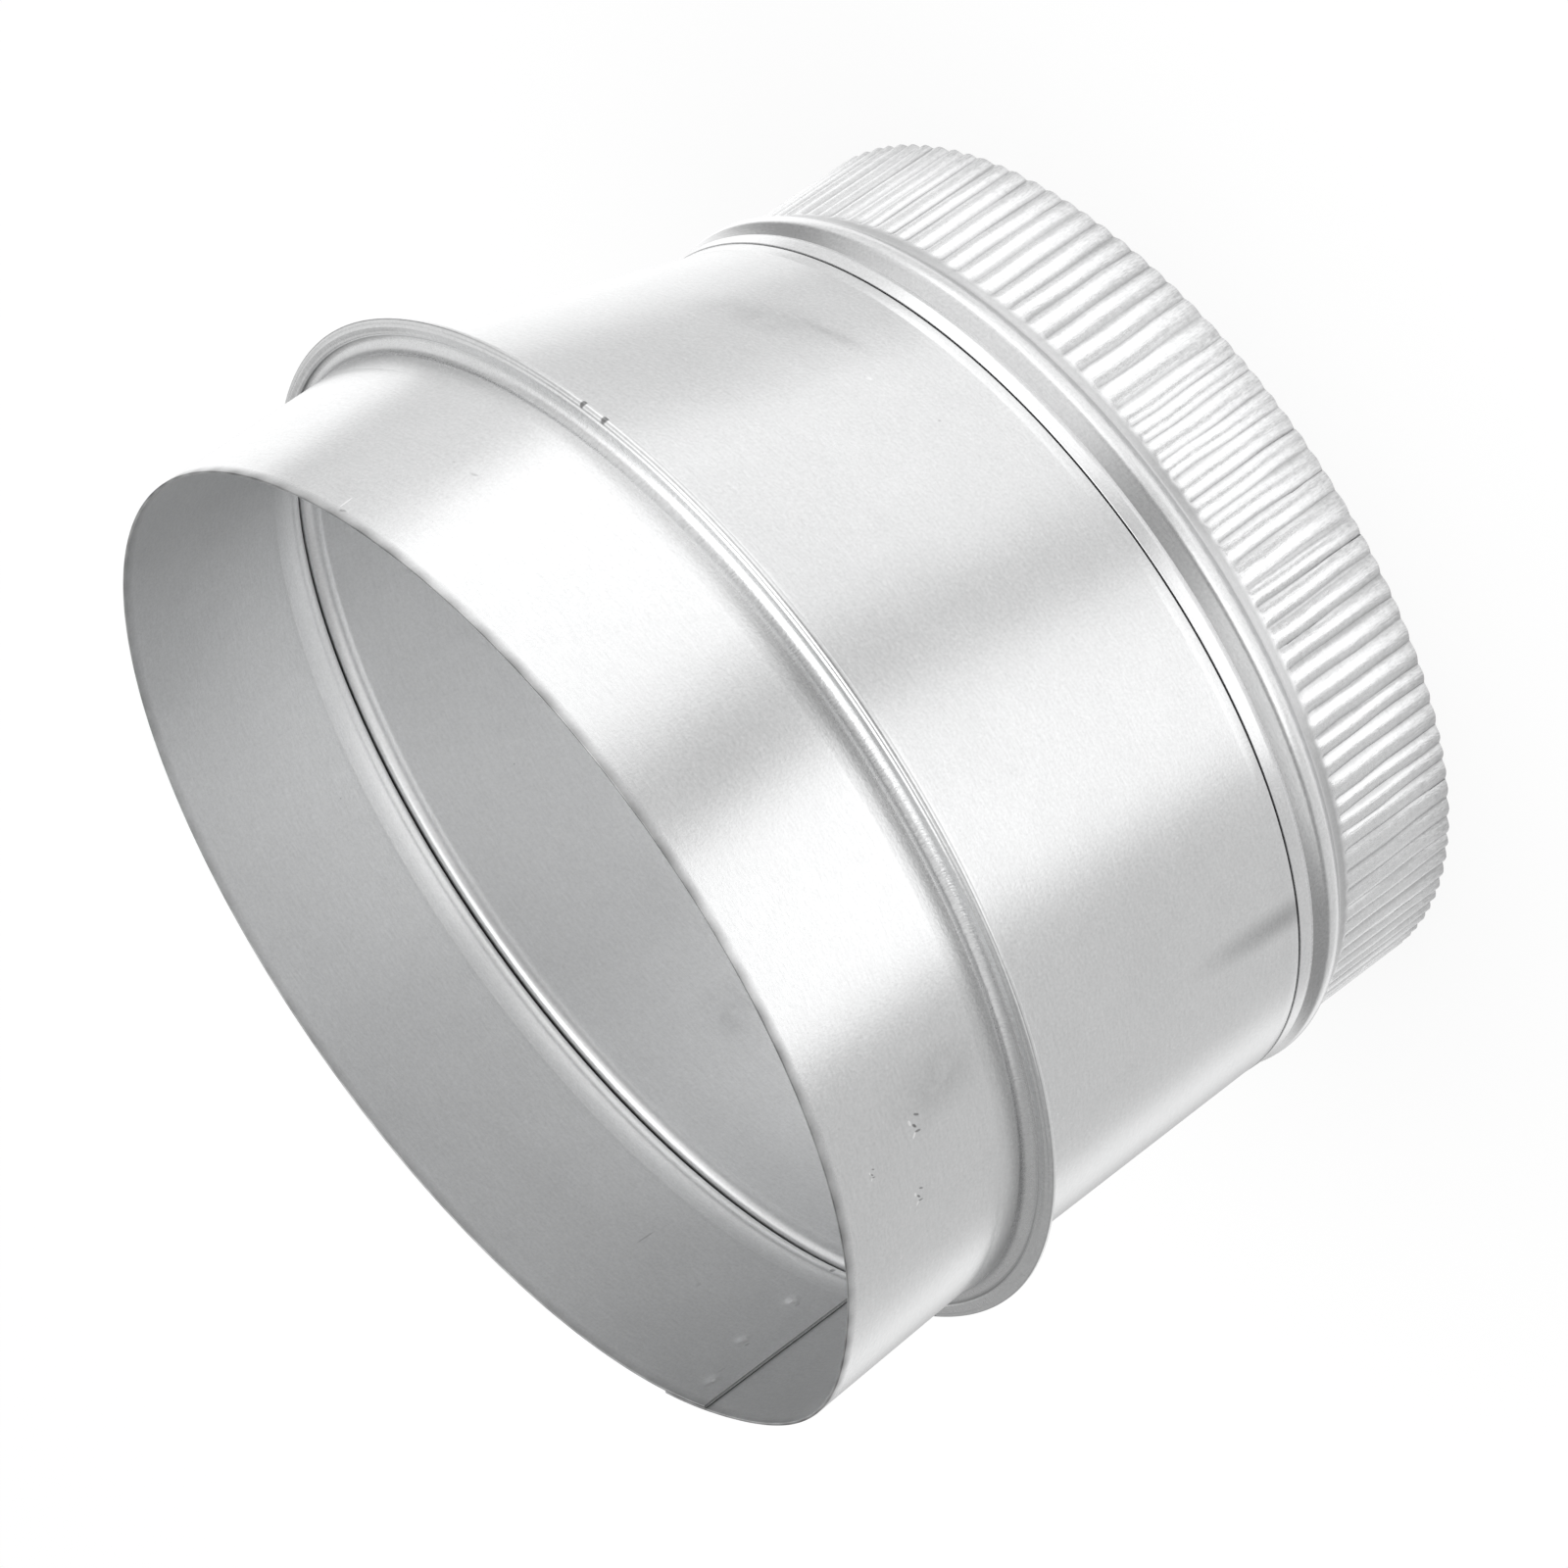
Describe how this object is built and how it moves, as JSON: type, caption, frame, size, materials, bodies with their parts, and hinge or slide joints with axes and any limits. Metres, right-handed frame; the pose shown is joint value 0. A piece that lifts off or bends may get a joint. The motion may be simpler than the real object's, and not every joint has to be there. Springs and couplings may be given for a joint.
{
  "type": "eccentric duct reducer",
  "caption": "Galvanised sheet reducer with a plain large collar, an eccentric tapered body and a beaded, crimped small spigot; it joins round ducts of two sizes flush on one side.",
  "frame": {"origin": "on the large collar's axis, in the plane of the crimped end", "axes": "+Z along the large collar's axis, out of the large mouth; -X towards the side where the two ends run nearly flush; +Y completes a right-handed frame"},
  "size_m": [0.2134, 0.2134, 0.1492],
  "materials": {
    "galvanised_sheet": "galvanised, fine spangle, faint drawing lines, half gloss",
    "bright_galvanised_sheet": "galvanised, brighter and glossier, worked by the bead and crimp rolls"
  },
  "bodies": {
    "root": {"large_collar": "galvanised_sheet", "tapered_body": "galvanised_sheet", "crimped_collar": "bright_galvanised_sheet"}
  },
  "joints": []
}
